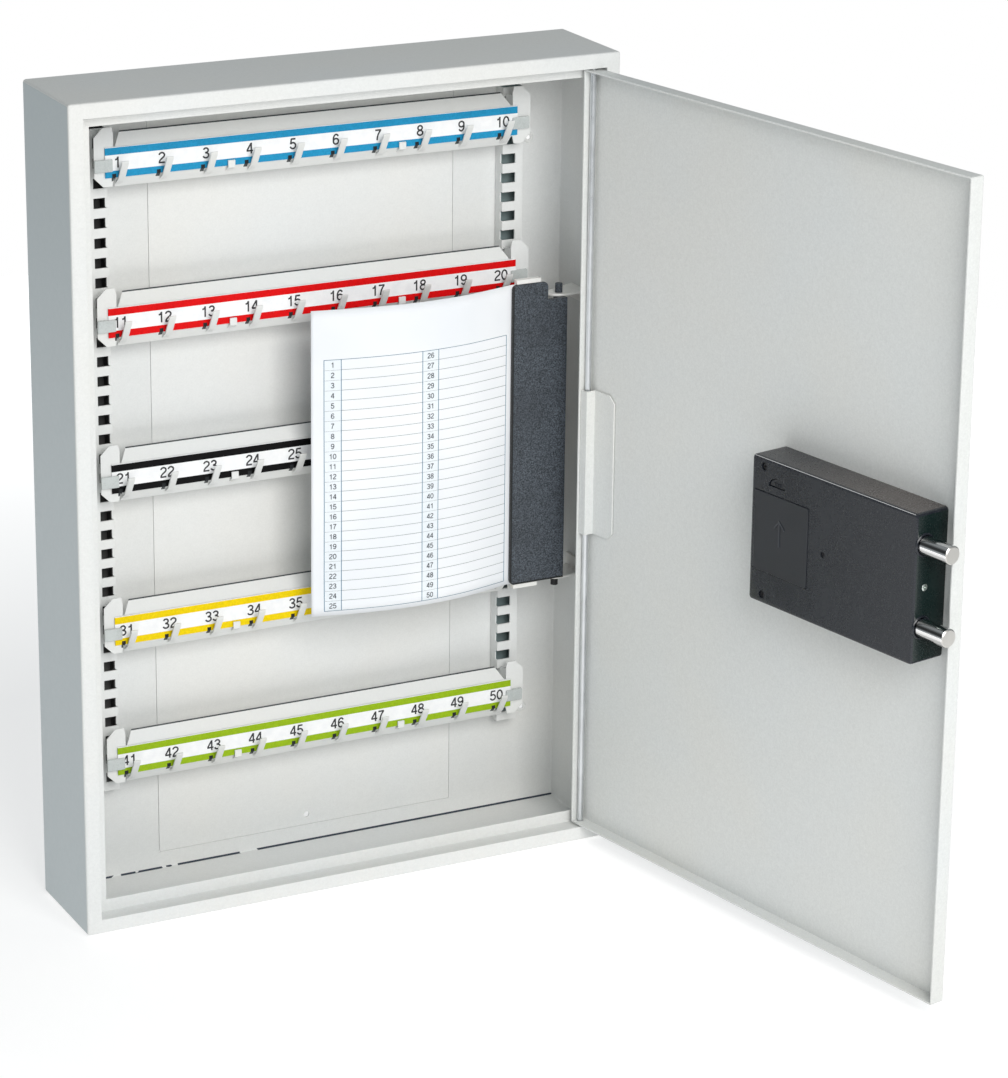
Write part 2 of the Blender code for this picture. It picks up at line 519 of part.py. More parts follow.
bm = bmesh.new()
rod_into(bm, (190.7, dv(-8.0), -23.0), 2.4, 10.4, 0, 16)
button = smooth(add("reset_button", mesh_of(bm, "reset_button"), parts, RED, hinge_axis))
combine(button, cylinder("button_collar", (192.2, dv(-8.0), -23.0), 3.6, 1.2, 0, group=cutters, parent=hinge_axis, sides=16), "UNION")

# ---- bolts, yoke, cam and knob -------------------------------------------------
for name, z in zip(("bolt_upper", "bolt_lower"), BOLT_Z):
    cylinder(name, ((BOLT_TIP + 298) / 2, dv(BOLT_V), z), BOLT_R, BOLT_TIP - 298, 0, paint=CHROME, parent=hinge_axis, sides=28, chamfer=0.8)
slot = [(284.0 - 2.9, 14.0), (284.0 + 2.9, 14.0), (284.0 + 2.9, 28.0), (284.0 - 2.9, 28.0)]
prism("bolt_carrier", [rounded_rect(274.0, 322.0, -23.0, 44.0, 3.0, 2), slot[::-1]], "XZ", dv(-3.0), dv(-1.6), paint=STEEL, parent=hinge_axis)

knob_at = (0, 0, 0)
cam = cylinder("drive_cam", (0, dv(1.0), 0), 17.0, 3.0, 1, paint=STEEL, parent=knob_axis, sides=28)
pin = cylinder("cam_pin", (CAM_R * math.sin(math.radians(45)), dv(-2.2), CAM_R * math.cos(math.radians(45))), 2.5, 5.0, 1, group=cutters, parent=knob_axis, sides=14)
combine(cam, pin, "UNION")

profile = [(4.0, 2.8), (4.0, 22.0), (19.5, 22.0), (20.0, 22.6), (19.2, 36.0), (17.6, 37.4), (0.0, 37.4)]
bm = bmesh.new()
base = rod_into(bm, (0, dv(12.4), 0), 4.0, 19.2, 1, 20)
knob = smooth(add("knob", mesh_of(bm, "knob"), parts, LOCK_BLACK, knob_axis))
bm = bmesh.new()
rod_into(bm, (0, dv(29.3), 0), 19.8, 14.8, 1, 32)
rims = [e for e in bm.edges if any(len(f.verts) > 4 for f in e.link_faces) and len(e.link_faces) == 2]
bmesh.ops.bevel(bm, geom=rims, offset=1.2 * MM, segments=2, profile=0.5, affect="EDGES")
combine(knob, add("knob_head", mesh_of(bm, "knob_head"), cutters, None, knob_axis), "UNION")
combine(knob, box("knob_grip", (-3.5, dv(36.0), -17.5), (3.5, dv(42.0), 17.5), group=cutters, parent=knob_axis, round_by=1.5, axis=1), "UNION")

# ---- keypad on the outer side ----------------------------------------------------
bm = bmesh.new()
cube_into(bm, (PAD_U[0], dv(PAD_V[0]), PAD_Z[0]), (PAD_U[1], dv(PAD_V[1]), PAD_Z[1]))
bmesh.ops.delete(bm, geom=[f for f in bm.faces if f.normal.y < -0.9], context="FACES")
bmesh.ops.bevel(bm, geom=[e for e in bm.edges if len(e.link_faces) == 2], offset=3.5 * MM, segments=3, profile=0.5, affect="EDGES")
mesh = bpy.data.meshes.new("keypad_housing")
bm.to_mesh(mesh)
bm.free()
pad = smooth(add("keypad_housing", mesh, parts, LOCK_BLACK, hinge_axis), 25)
thick = pad.modifiers.new("wall", "SOLIDIFY")
thick.thickness = 2.0 * MM
thick.offset = -1
thick.use_even_offset = True
half_u, half_z = KEY_SIZE[0] / 2 + 0.35, KEY_SIZE[1] / 2 + 0.35
combine(pad, boxes_cutter("pad_key_holes", [((u - half_u, dv(PAD_V[1] - 4), z - half_z), (u + half_u, dv(PAD_V[1] + 2), z + half_z)) for u in KEY_U for z in KEY_Z], hinge_axis), "DIFFERENCE")
combine(pad, rods_cutter("pad_knob_hole", [((CAM_U, dv(PAD_V[1] - 1), CAM_Z), 6.0, 8, 1)], hinge_axis, 24), "DIFFERENCE")

key_source = box("key", (-KEY_SIZE[0] / 2, -3.0, -KEY_SIZE[1] / 2), (KEY_SIZE[0] / 2, 3.0, KEY_SIZE[1] / 2), group=cutters, round_by=0.8, axis=1)
key_mesh = baked("keypad_key", key_source, KEY_GREY)
names = ("1", "2", "3", "4", "5", "6", "7", "8", "9", "cancel", "0", "enter")
for index, name in enumerate(names):
    row, column = divmod(index, 3)
    # Seen from outside the door u runs to the left, so the first column is the far one.
    add(f"key_{name}", key_mesh, parts, parent=hinge_axis, at=(KEY_U[2 - column], dv(19.4), KEY_Z[row]))
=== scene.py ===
import json
import math

import bmesh
import bpy
from mathutils import Matrix, Vector

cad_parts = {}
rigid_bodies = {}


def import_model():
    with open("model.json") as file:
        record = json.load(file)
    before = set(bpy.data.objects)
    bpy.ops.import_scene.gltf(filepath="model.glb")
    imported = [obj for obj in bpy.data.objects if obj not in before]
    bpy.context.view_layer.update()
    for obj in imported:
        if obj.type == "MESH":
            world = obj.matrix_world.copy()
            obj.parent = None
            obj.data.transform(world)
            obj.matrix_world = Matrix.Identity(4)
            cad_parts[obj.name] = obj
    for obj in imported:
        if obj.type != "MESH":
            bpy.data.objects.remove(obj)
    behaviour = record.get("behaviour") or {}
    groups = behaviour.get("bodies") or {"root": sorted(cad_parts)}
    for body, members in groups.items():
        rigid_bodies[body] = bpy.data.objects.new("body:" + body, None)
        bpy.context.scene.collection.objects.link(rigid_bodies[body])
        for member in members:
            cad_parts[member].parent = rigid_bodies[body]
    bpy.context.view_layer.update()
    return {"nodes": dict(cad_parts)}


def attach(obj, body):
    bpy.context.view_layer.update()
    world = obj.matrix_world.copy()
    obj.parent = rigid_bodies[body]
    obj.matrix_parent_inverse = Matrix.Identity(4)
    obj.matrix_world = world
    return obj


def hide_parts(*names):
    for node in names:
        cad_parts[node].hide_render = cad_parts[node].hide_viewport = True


for old in list(bpy.data.objects):
    bpy.data.objects.remove(old, do_unlink=True)

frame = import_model()
NODES = frame["nodes"]
MM = 0.001

# ------------------------------------------------------------------ camera
CAM = dict(az=27.073, el=17.978, roll=0.653, at=(-993.7, -2235.9, 799.2), f=3872.5, cx=504.0, cy=452.8)


def camera_matrix(az, el, roll, at):
    a, e, r = (math.radians(x) for x in (az, el, roll))
    forward = Vector((math.sin(a) * math.cos(e), math.cos(a) * math.cos(e), -math.sin(e)))
    right = forward.cross(Vector((0, 0, 1))).normalized()
    up = right.cross(forward)
    # Roll turns the picture about the viewing axis.
    right, up = right * math.cos(r) + up * math.sin(r), up * math.cos(r) - right * math.sin(r)
    return Matrix((
        (right.x, up.x, -forward.x, at[0] * MM),
        (right.y, up.y, -forward.y, at[1] * MM),
        (right.z, up.z, -forward.z, at[2] * MM),
        (0, 0, 0, 1)))


cam = bpy.data.objects.new("camera", bpy.data.cameras.new("camera"))
bpy.context.scene.collection.objects.link(cam)
cam.matrix_world = camera_matrix(CAM["az"], CAM["el"], CAM["roll"], CAM["at"])
cam.data.sensor_width = 36.0
cam.data.lens = CAM["f"] * 36.0 / 1078.0
cam.data.shift_x = (504.0 - CAM["cx"]) / 1078.0
cam.data.shift_y = (CAM["cy"] - 539.0) / 1078.0
cam.data.clip_start = 0.05
cam.data.clip_end = 60.0
bpy.context.scene.camera = cam
bpy.context.scene.view_settings.view_transform = "Standard"
bpy.context.scene.view_settings.look = "None"


# --------------------------------------------------------------- materials
class Paint:
    """A material under construction: short names for the nodes that it is made of."""

    def __init__(self, name, color=(0.8, 0.8, 0.8), roughness=0.5, metallic=0.0, specular=0.5, coat=0.0):
        self.mat = bpy.data.materials.new(name)
        self.mat.use_nodes = True
        self.tree = self.mat.node_tree
        self.bsdf = self.tree.nodes["Principled BSDF"]
        self.bsdf.inputs["Base Color"].default_value = (*color, 1)
        self.bsdf.inputs["Roughness"].default_value = roughness
        self.bsdf.inputs["Metallic"].default_value = metallic
        self.bsdf.inputs["Specular IOR Level"].default_value = specular
        self.bsdf.inputs["Coat Weight"].default_value = coat
        self.coord = self.node("ShaderNodeTexCoord").outputs["Object"]

    def node(self, kind, **props):
        made = self.tree.nodes.new(kind)
        for key, value in props.items():
            setattr(made, key, value)
        return made

    def link(self, source, target):
        if hasattr(source, "links"):
            self.tree.links.new(source, target)
        elif isinstance(source, (tuple, list)) and len(source) == 3 and target.type == "RGBA":
            target.default_value = (*source, 1)
        else:
            target.default_value = source

    def noise(self, scale, detail=2.0, rough=0.5, distortion=0.0, vector=None):
        made = self.node("ShaderNodeTexNoise")
        self.link(vector or self.coord, made.inputs["Vector"])
        made.inputs["Scale"].default_value = scale
        made.inputs["Detail"].default_value = detail
        made.inputs["Roughness"].default_value = rough
        made.inputs["Distortion"].default_value = distortion
        return made.outputs["Fac"]

    def voronoi(self, scale, feature="F1", vector=None):
        made = self.node("ShaderNodeTexVoronoi", feature=feature)
        self.link(vector or self.coord, made.inputs["Vector"])
        made.inputs["Scale"].default_value = scale
        return made.outputs["Distance"]

    def math(self, operation, a, b=0.0, clamp=False):
        made = self.node("ShaderNodeMath", operation=operation, use_clamp=clamp)
        self.link(a, made.inputs[0])
        self.link(b, made.inputs[1])
        return made.outputs[0]

    def span(self, value, lo, hi, out_lo, out_hi):
        made = self.node("ShaderNodeMapRange")
        made.clamp = True
        for socket, x in zip(("Value", "From Min", "From Max", "To Min", "To Max"), (value, lo, hi, out_lo, out_hi)):
            self.link(x, made.inputs[socket])
        return made.outputs["Result"]

    def mix(self, factor, a, b):
        made = self.node("ShaderNodeMix", data_type="RGBA")
        self.link(factor, made.inputs[0])
        self.link(a, made.inputs[6])
        self.link(b, made.inputs[7])
        return made.outputs[2]

    def split(self, vector=None):
        made = self.node("ShaderNodeSeparateXYZ")
        self.link(vector or self.coord, made.inputs[0])
        return made.outputs

    def stretch(self, scale):
        made = self.node("ShaderNodeMapping")
        self.link(self.coord, made.inputs["Vector"])
        made.inputs["Scale"].default_value = scale
        return made.outputs[0]

    def color(self, value):
        self.link(value, self.bsdf.inputs["Base Color"])
        return self

    def rough(self, value):
        self.link(value, self.bsdf.inputs["Roughness"])
        return self

    def bump(self, height, strength, distance, after=None):
        made = self.node("ShaderNodeBump")
        made.inputs["Strength"].default_value = strength
        made.inputs["Distance"].default_value = distance
        self.link(height, made.inputs["Height"])
        if after is not None:
            self.link(after, made.inputs["Normal"])
        self.link(made.outputs[0], self.bsdf.inputs["Normal"])
        return made.outputs[0]


def times(rgb, k):
    return tuple(min(1.0, c * k) for c in rgb)


def powder_coat(name, rgb, grain=0.055, rough=0.5, painted_shade=None):
    p = Paint(name, rgb, rough, specular=0.38)
    fine = p.noise(820, 2.0, 0.62)
    broad = p.noise(9, 2.0, 0.5)
    speck = p.noise(360, 2.0, 0.5)
    mixed = p.math("ADD", p.math("MULTIPLY", fine, 0.62), p.math("MULTIPLY", speck, 0.38))
    shade = p.mix(p.span(mixed, 0.34, 0.66, 0, 1), times(rgb, 1 - grain), times(rgb, 1 + grain * 0.8))
    warm = (rgb[0] * 1.012, rgb[1] * 1.0, rgb[2] * 0.975)
    cool = (rgb[0] * 0.975, rgb[1] * 0.995, rgb[2] * 1.012)
    tint = p.mix(p.span(broad, 0.35, 0.65, 0, 1), cool, warm)
    both = p.node("ShaderNodeMix", data_type="RGBA", blend_type="MIX")
    both.inputs[0].default_value = 0.5
    p.link(shade, both.inputs[6])
    p.link(tint, both.inputs[7])
    # painted_shade, when given, paints shade into the coat's colour by position.
    p.color(painted_shade(p, both.outputs[2]) if painted_shade else both.outputs[2])
    p.rough(p.span(speck, 0.3, 0.7, rough - 0.07, rough + 0.09))
    first = p.bump(p.noise(620, 2.0, 0.5), 0.22, 0.00006)
    p.bump(fine, 0.30, 0.00004, first)
    return p.mat


def brushed(name, rgb, rough, along=(1, 1, 0.02), wear=0.12, metal=1.0):
    p = Paint(name, rgb, rough, metal)
    lines = p.noise(2600, 3.0, 0.6, vector=p.stretch(along))
    blotch = p.noise(55, 3.0, 0.55)
    p.color(p.mix(p.span(blotch, 0.35, 0.7, 0, 1), times(rgb, 1 - wear), times(rgb, 1.03)))
    p.rough(p.span(p.math("ADD", p.math("MULTIPLY", lines, 0.6), p.math("MULTIPLY", blotch, 0.4)), 0.3, 0.7, max(0.03, rough - 0.08), rough + 0.12))
    p.bump(lines, 0.15, 0.00002)
    return p.mat


def moulded(name, rgb, rough, grain=0.25, coat=0.0, scale=900):
    p = Paint(name, rgb, rough, specular=0.5, coat=coat)
    spark = p.noise(scale, 2.0, 0.6)
    dust = p.noise(38, 4.0, 0.6)
    p.color(p.mix(p.span(dust, 0.35, 0.75, 0, 1), times(rgb, 0.92), times(rgb, 1.12)))
    p.rough(p.span(p.math("ADD", p.math("MULTIPLY", spark, 0.5), p.math("MULTIPLY", dust, 0.5)), 0.3, 0.7, rough - 0.06, rough + 0.1))
    p.bump(spark, grain, 0.00003)
    return p.mat


BAR_Z = (225.7, 121.7, 17.7, -86.3, -177.3)


def within(p, value, lo, hi):
    return p.math("MULTIPLY", p.math("GREATER_THAN", value, lo * MM), p.math("LESS_THAN", value, hi * MM))


def painted_rail_channel_shade(p, color):
    """Painted shade inside the rails' channels, darker on the left."""
    x, y, z = p.split()
    wide = p.math("ABSOLUTE", x)
    channel = p.math("MULTIPLY", within(p, wide, 140.1, 153.9), within(p, y, -10.9, -1.1))
    channel = p.math("MULTIPLY", channel, within(p, z, -207, 242))
    low = p.span(z, -0.2, 0.2, 0.075, 0.018)
    left = p.node("ShaderNodeCombineColor")
    for k in range(3):
        p.link(low, left.inputs[k])
    shade = p.mix(p.math("LESS_THAN", x, 0.0), (0.20, 0.26, 0.265), left.outputs[0])
    return p.mix(channel, color, shade)


def shell_painted_shade(p, color):
    x, y, z = p.split()
    # Painted shade: the housing's left outer side gets a darker, cooler colour than the rest.
    side = p.math("MULTIPLY", p.math("LESS_THAN", x, -0.18985), p.math("GREATER_THAN", y, -0.0795))
    # Painted shade: the open joint between the floor and the back is drawn as a dark, broken line.
    joint = p.math("MULTIPLY", within(p, y, -2.5, -1.0), within(p, z, -274.2, -272.9))
    broken = p.math("GREATER_THAN", p.math("ADD", p.noise(55, 2.0, 0.6), p.span(x, -0.19, 0.1, -0.06, 0.2)), 0.47)
    joined = p.mix(p.math("MULTIPLY", joint, broken), painted_rail_channel_shade(p, color), (0.03, 0.04, 0.06))
    return p.mix(side, joined, (0.555, 0.605, 0.618))


def bar_painted_shade(index):
    zc = BAR_Z[index]

    def painted_shade(p, color):
        x, y, z = p.split()
        # Painted shade: a thin dark line along the top of the flange where its shadow falls, dark patches at the hook
        # openings, and dark bar ends inside the rails.
        edge = p.math("MULTIPLY", p.math("GREATER_THAN", z, (zc + 14.3) * MM), within(p, x, -139.5, 139.5))
        slot_shade = p.math("LESS_THAN", p.math("FRACT", p.math("DIVIDE", p.math("ADD", x, 0.2915), 0.030)), 0.10)
        slot_shade = p.math("MULTIPLY", slot_shade, p.math("MULTIPLY", within(p, z, zc - 15.6, zc - 11.5), within(p, x, -141.5, 137)))
        gap_shade = p.math("MULTIPLY", within(p, y, -24.2, 0.0), p.math("GREATER_THAN", p.math("ABSOLUTE", x), 0.1495))
        dark = p.math("ADD", p.math("ADD", edge, slot_shade, True), gap_shade, True)
        return p.mix(dark, color, (0.045, 0.052, 0.055))

    return painted_shade


COAT = powder_coat("cabinet_powder_coat", (0.735, 0.742, 0.732), 0.07, 0.5, shell_painted_shade)
COAT_BACK = powder_coat("back_panel_powder_coat", (0.765, 0.770, 0.758), 0.07)
COAT_RAIL = powder_coat("rail_powder_coat", (0.755, 0.762, 0.752), 0.04, 0.45, painted_rail_channel_shade)
COAT_BARS = [powder_coat(f"bar_powder_coat_{k + 1}", (0.745, 0.752, 0.742), 0.035, 0.42, bar_painted_shade(k)) for k in range(5)]
COAT_DOOR = powder_coat("door_powder_coat", (0.705, 0.717, 0.705), 0.11)
ZINC = brushed("zinc_steel", (0.74, 0.76, 0.78), 0.30, (1, 1, 0.02))
PLATED = brushed("plated_clamp", (0.90, 0.895, 0.87), 0.42, (1, 0.02, 1), 0.05, 0.35)
COVER = moulded("battery_cover_plastic", (0.012, 0.0145, 0.020), 0.34, 0.30)
KNOB = moulded("knob_plastic", (0.030, 0.031, 0.034), 0.28, 0.15)
KEYS = moulded("key_plastic", (0.33, 0.34, 0.36), 0.42, 0.25)
CLIP = moulded("clip_plastic", (0.50, 0.535, 0.53), 0.26, 0.12, coat=0.3)
RED = moulded("reset_plastic", (0.62, 0.035, 0.03), 0.28, 0.1, coat=0.4)


def leather():
    p = Paint("register_leather_grain", (0.018, 0.019, 0.022), 0.42, specular=0.5)
    cells = p.voronoi(760, "F1")
    folds = p.noise(240, 3.0, 0.6, 0.8)
    speck = p.noise(1300, 2.0, 0.7)
    x, _, z = p.split()
    rim = p.math("ADD", p.math("LESS_THAN", x, 0.1321), p.math("LESS_THAN", z, -0.0925), True)
    broad = p.noise(22, 3.0, 0.6)
    hide = p.mix(p.span(speck, 0.36, 0.68, 0, 1), (0.008, 0.010, 0.014), (0.105, 0.126, 0.152))
    hide = p.mix(p.math("MULTIPLY", p.span(broad, 0.40, 0.62, 0, 1), 0.35), hide, (0.022, 0.026, 0.033))
    p.color(p.mix(rim, hide, (0.004, 0.005, 0.006)))
    p.rough(p.span(cells, 0.1, 0.7, 0.30, 0.58))
    first = p.bump(folds, 0.5, 0.0003)
    second = p.bump(cells, 0.8, 0.00016, first)
    p.bump(speck, 0.35, 0.00006, second)
    return p.mat


LEATHER = leather()

A = Vector((173.0, -74.5, 0.0)) * MM
T = math.radians(101.0)
UD = Vector((-math.cos(T), -math.sin(T), 0))
VD = Vector((math.sin(T), -math.cos(T), 0))
ZD = Vector((0, 0, 1))


def door_point(u, v, z):
    return A + UD * (u * MM) + VD * ((v - 5.0) * MM) + ZD * (z * MM)


def lock_case_plastic():
    p = Paint("lock_plastic", (0.011, 0.0135, 0.019), 0.27, specular=0.5)
    along = p.node("ShaderNodeVectorMath", operation="DOT_PRODUCT")
    across = p.node("ShaderNodeVectorMath", operation="DOT_PRODUCT")
    p.link(p.coord, along.inputs[0])
    p.link(p.coord, across.inputs[0])
    along.inputs[1].default_value = UD
    across.inputs[1].default_value = VD
    z = p.split()[2]
    dust = p.noise(38, 4.0, 0.6)
    spark = p.noise(900, 2.0, 0.6)
    face = p.mix(p.span(dust, 0.35, 0.75, 0, 1), (0.0105, 0.013, 0.019), (0.014, 0.017, 0.0235))
    # Painted light: the top face is lighter and warmer, more so towards the far end.
    top = p.math("MULTIPLY", p.math("GREATER_THAN", z, 0.05692), p.span(along.outputs["Value"], float(door_point(215, 0, 0).dot(UD)), float(door_point(300, 0, 0).dot(UD)), 0.2, 1.0))
    face = p.mix(top, face, (0.085, 0.073, 0.068))
    # Painted shade: the end face is darker.
    end = p.math("GREATER_THAN", along.outputs["Value"], float(door_point(336.85, 0, 0).dot(UD)))
    face = p.mix(end, face, (0.004, 0.013, 0.012))
    # Painted highlight: a bright line along the top front edge.
    rim = p.math("MULTIPLY", p.math("GREATER_THAN", z, 0.0562), p.math("LESS_THAN", across.outputs["Value"], float(door_point(0, -16.1, 0).dot(VD))))
    face = p.mix(p.math("MULTIPLY", rim, 0.95), face, (0.62, 0.62, 0.63))
    p.color(face)
    p.rough(p.span(p.math("ADD", p.math("MULTIPLY", spark, 0.5), p.math("MULTIPLY", dust, 0.5)), 0.3, 0.7, 0.2, 0.36))
    p.bump(spark, 0.12, 0.00003)
    return p.mat


def bolt_metal():
    p = Paint("bolt_chrome", (0.83, 0.84, 0.86), 0.10, 1.0)
    along = p.node("ShaderNodeVectorMath", operation="DOT_PRODUCT")
    p.link(p.coord, along.inputs[0])
    along.inputs[1].default_value = UD
    reach = p.math("SUBTRACT", along.outputs["Value"], float(door_point(361, -9.3, 0).dot(UD)))
    end = p.math("GREATER_THAN", reach, -0.0006)
    turned = p.noise(900, 2.0, 0.6)
    smear = p.noise(120, 3.0, 0.6)
    p.rough(p.math("ADD", p.math("MULTIPLY", end, 0.30), p.span(smear, 0.3, 0.7, 0.06, 0.16)))
    # Painted reflections: bright and dark streaks along each bolt, set by height from its axis.
    z = p.split()[2]
    high = p.math("GREATER_THAN", z, 0.010)
    centre = p.math("SUBTRACT", p.math("MULTIPLY", high, 0.0525), 0.016)
    turn = p.math("DIVIDE", p.math("SUBTRACT", z, centre), 0.006)
    reflection_bands = p.node("ShaderNodeValToRGB")
    p.link(p.span(turn, -1, 1, 0, 1), reflection_bands.inputs[0])
    ramp = reflection_bands.color_ramp
    stops = [(0.0, 0.02), (0.13, 0.05), (0.22, 0.42), (0.38, 0.50), (0.47, 0.95), (0.60, 0.90), (0.67, 0.10), (0.76, 0.07), (0.85, 0.62), (1.0, 0.70)]
    ramp.elements[0].position, ramp.elements[1].position = stops[0][0], stops[-1][0]
    ramp.elements[0].color = (stops[0][1],) * 3 + (1,)
    ramp.elements[1].color = (stops[-1][1],) * 3 + (1,)
    for at, value in stops[1:-1]:
        ramp.elements.new(at).color = (value, value * 0.99, value * 0.985, 1)
    p.color(p.mix(end, reflection_bands.outputs[0], (0.60, 0.585, 0.555)))
    p.bump(turned, 0.1, 0.00002)
    return p.mat


CASE = lock_case_plastic()
BOLT = bolt_metal()
STRIPES = [(0.018, 0.27, 0.50), (0.68, 0.003, 0.004), (0.002, 0.002, 0.0025), (0.82, 0.60, 0.001), (0.29, 0.45, 0.010)]
def label_card(index):
    rgb, zc = STRIPES[index], BAR_Z[index]
    p = Paint(f"label_print_{index + 1}", (0.9, 0.9, 0.9), 0.5, specular=0.12)
    z = p.split()[2]
    top = p.math("GREATER_THAN", z, (zc + 1.5) * MM)
    low = p.math("LESS_THAN", z, (zc - 8.6) * MM)
    edge = p.math("GREATER_THAN", z, (zc + 6.15) * MM)
    stripe = p.math("ADD", top, low, True)
    stripe = p.math("SUBTRACT", stripe, edge, True)
    fibre = p.noise(700, 3.0, 0.6)
    ink = p.mix(p.span(fibre, 0.35, 0.65, 0, 1), times(rgb, 0.92), times(rgb, 1.08))
    card = p.mix(p.span(p.noise(160, 3.0, 0.6), 0.35, 0.65, 0, 1), (0.84, 0.85, 0.865), (0.90, 0.905, 0.91))
    x = p.split()[0]
    # Painted shade: dark marks on the card below each hook opening.
    slot_shade = p.math("LESS_THAN", p.math("FRACT", p.math("DIVIDE", p.math("ADD", x, 0.2915), 0.030)), 0.09)
    slot_shade = p.math("MULTIPLY", slot_shade, p.math("LESS_THAN", z, (zc - 10.6) * MM))
    p.color(p.mix(slot_shade, p.mix(stripe, card, ink), (0.02, 0.022, 0.024)))
    p.rough(p.span(fibre, 0.3, 0.7, 0.36, 0.5))
    p.bump(fibre, 0.08, 0.00003)
    return p.mat


def assign(names, material):
    for name in names:
        mesh = NODES[name].data
        mesh.materials.clear()
        mesh.materials.append(material)


def refine(name, bevel=0.0, segments=2, angle=32.0, split=False):
    """Rounds a CAD node's hard edges and shades it smoothly, without touching its mesh."""
    obj = NODES[name]
    attribute = obj.data.attributes.get("custom_normal")
    if attribute is not None:
        obj.data.attributes.remove(attribute)
    for polygon in obj.data.polygons:
        polygon.use_smooth = True
    weld = obj.modifiers.new("weld", "WELD")
    weld.merge_threshold = 0.000002
    if bevel:
        step = obj.modifiers.new("edge_round", "BEVEL")
        step.width = bevel * MM
        step.segments = segments
        step.limit_method = "ANGLE"
        step.angle_limit = math.radians(angle)
        step.use_clamp_overlap = True
        normal = obj.modifiers.new("normals", "WEIGHTED_NORMAL")
        normal.mode = "FACE_AREA"
        normal.weight = 80
    else:
        step = obj.modifiers.new("sharp", "EDGE_SPLIT")
        step.split_angle = math.radians(angle)


KEY_NAMES = ["1", "2", "3", "4", "5", "6", "7", "8", "9", "cancel", "0", "enter"]
assign(["housing_shell"], COAT)
assign(["back_panel"], COAT_BACK)
assign(["rail_left", "rail_right"], COAT_RAIL)
for k in range(5):
    assign([f"key_bar_{k + 1}"], COAT_BARS[k])
assign(["door_panel", "hinge_leaf"], COAT_DOOR)
assign(["hinge_rod", "bolt_carrier", "drive_cam"], ZINC)
assign(["register_bracket_top", "register_bracket_bottom", "register_clamp"], PLATED)
assign(["register_plate"], LEATHER)
assign(["lock_case", "keypad_housing"], CASE)
assign(["battery_cover"], COVER)
assign(["knob"], KNOB)
assign(["reset_button"], RED)
assign(["bolt_upper", "bolt_lower"], BOLT)
assign([f"key_{k}" for k in KEY_NAMES], KEYS)
assign([f"bar_clip_{k}_{s}" for k in range(1, 6) for s in ("left", "right")], CLIP)
for k in range(5):
    assign([f"label_strip_{k + 1}"], label_card(k))


def cell_wrap():
    p = Paint("battery_sleeve", (0.03, 0.032, 0.036), 0.32, coat=0.4)
    along = p.node("ShaderNodeVectorMath", operation="DOT_PRODUCT")
    p.link(p.coord, along.inputs[0])
    along.inputs[1].default_value = UD
    at = p.math("SUBTRACT", along.outputs["Value"], float(door_point(231, 0, 0).dot(UD)))
    band = p.math("GREATER_THAN", at, 0.0)
    p.color(p.mix(band, (0.03, 0.032, 0.036), (0.55, 0.30, 0.08)))
    p.rough(p.span(p.noise(200, 3.0, 0.6), 0.3, 0.7, 0.26, 0.4))
    return p.mat


def board():
    p = Paint("circuit_board_mask", (0.02, 0.16, 0.06), 0.4)
    tracks = p.voronoi(420, "DISTANCE_TO_EDGE")
    p.color(p.mix(p.math("LESS_THAN", tracks, 0.06), (0.02, 0.15, 0.055), (0.05, 0.30, 0.10)))
    p.rough(p.span(p.noise(300, 2.0, 0.5), 0.3, 0.7, 0.35, 0.5))
    p.bump(tracks, 0.2, 0.00004)
    return p.mat


assign([f"battery_{k}" for k in range(1, 5)], cell_wrap())
assign(["circuit_board"], board())

refine("housing_shell", 0.32)
refine("door_panel", 0.32)
refine("back_panel", 0.12, 1)
for n in ("rail_left", "rail_right"):
    refine(n, 0.18, 1, 50)
for k in range(1, 6):
    refine(f"key_bar_{k}", 0.16, 1, 50)
    refine(f"label_strip_{k}", 0.08, 1)
    for s in ("left", "right"):
        refine(f"bar_clip_{k}_{s}", 0.35, 2)
for n, w in (("hinge_leaf", 0.3), ("lock_case", 0.35), ("battery_cover", 0.3), ("register_bracket_top", 0.22), ("register_bracket_bottom", 0.22),
             ("register_clamp", 0.3), ("register_plate", 0.55), ("keypad_housing", 0.4), ("bolt_carrier", 0.2), ("circuit_board", 0.2)):
    refine(n, w)
for k in KEY_NAMES:
    refine(f"key_{k}", 0.9, 3)
for n in ["hinge_rod", "drive_cam", "knob", "reset_button", "bolt_upper", "bolt_lower"] + [f"battery_{k}" for k in range(1, 5)]:
    refine(n)


# ------------------------------------------------------------------ pieces
def piece(name, mesh, material, body, world=None):
    obj = bpy.data.objects.new(name, mesh)
    bpy.context.scene.collection.objects.link(obj)
    if world is not None:
        obj.matrix_world = world
    mesh.materials.clear()
    mesh.materials.append(material)
    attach(obj, body)
    return obj


def to_mesh(bm, name, smooth=True, angle=35):
    bmesh.ops.recalc_face_normals(bm, faces=bm.faces)
    mesh = bpy.data.meshes.new(name)
    bm.to_mesh(mesh)
    bm.free()
    if smooth:
        mesh.shade_smooth()
        mesh.set_sharp_from_angle(angle=math.radians(angle))
    return mesh


def arc(cx, cy, rx, ry, start, stop, steps=18):
    return [(cx + rx * math.cos(math.radians(start + (stop - start) * k / steps)),
             cy + ry * math.sin(math.radians(start + (stop - start) * k / steps))) for k in range(steps + 1)]


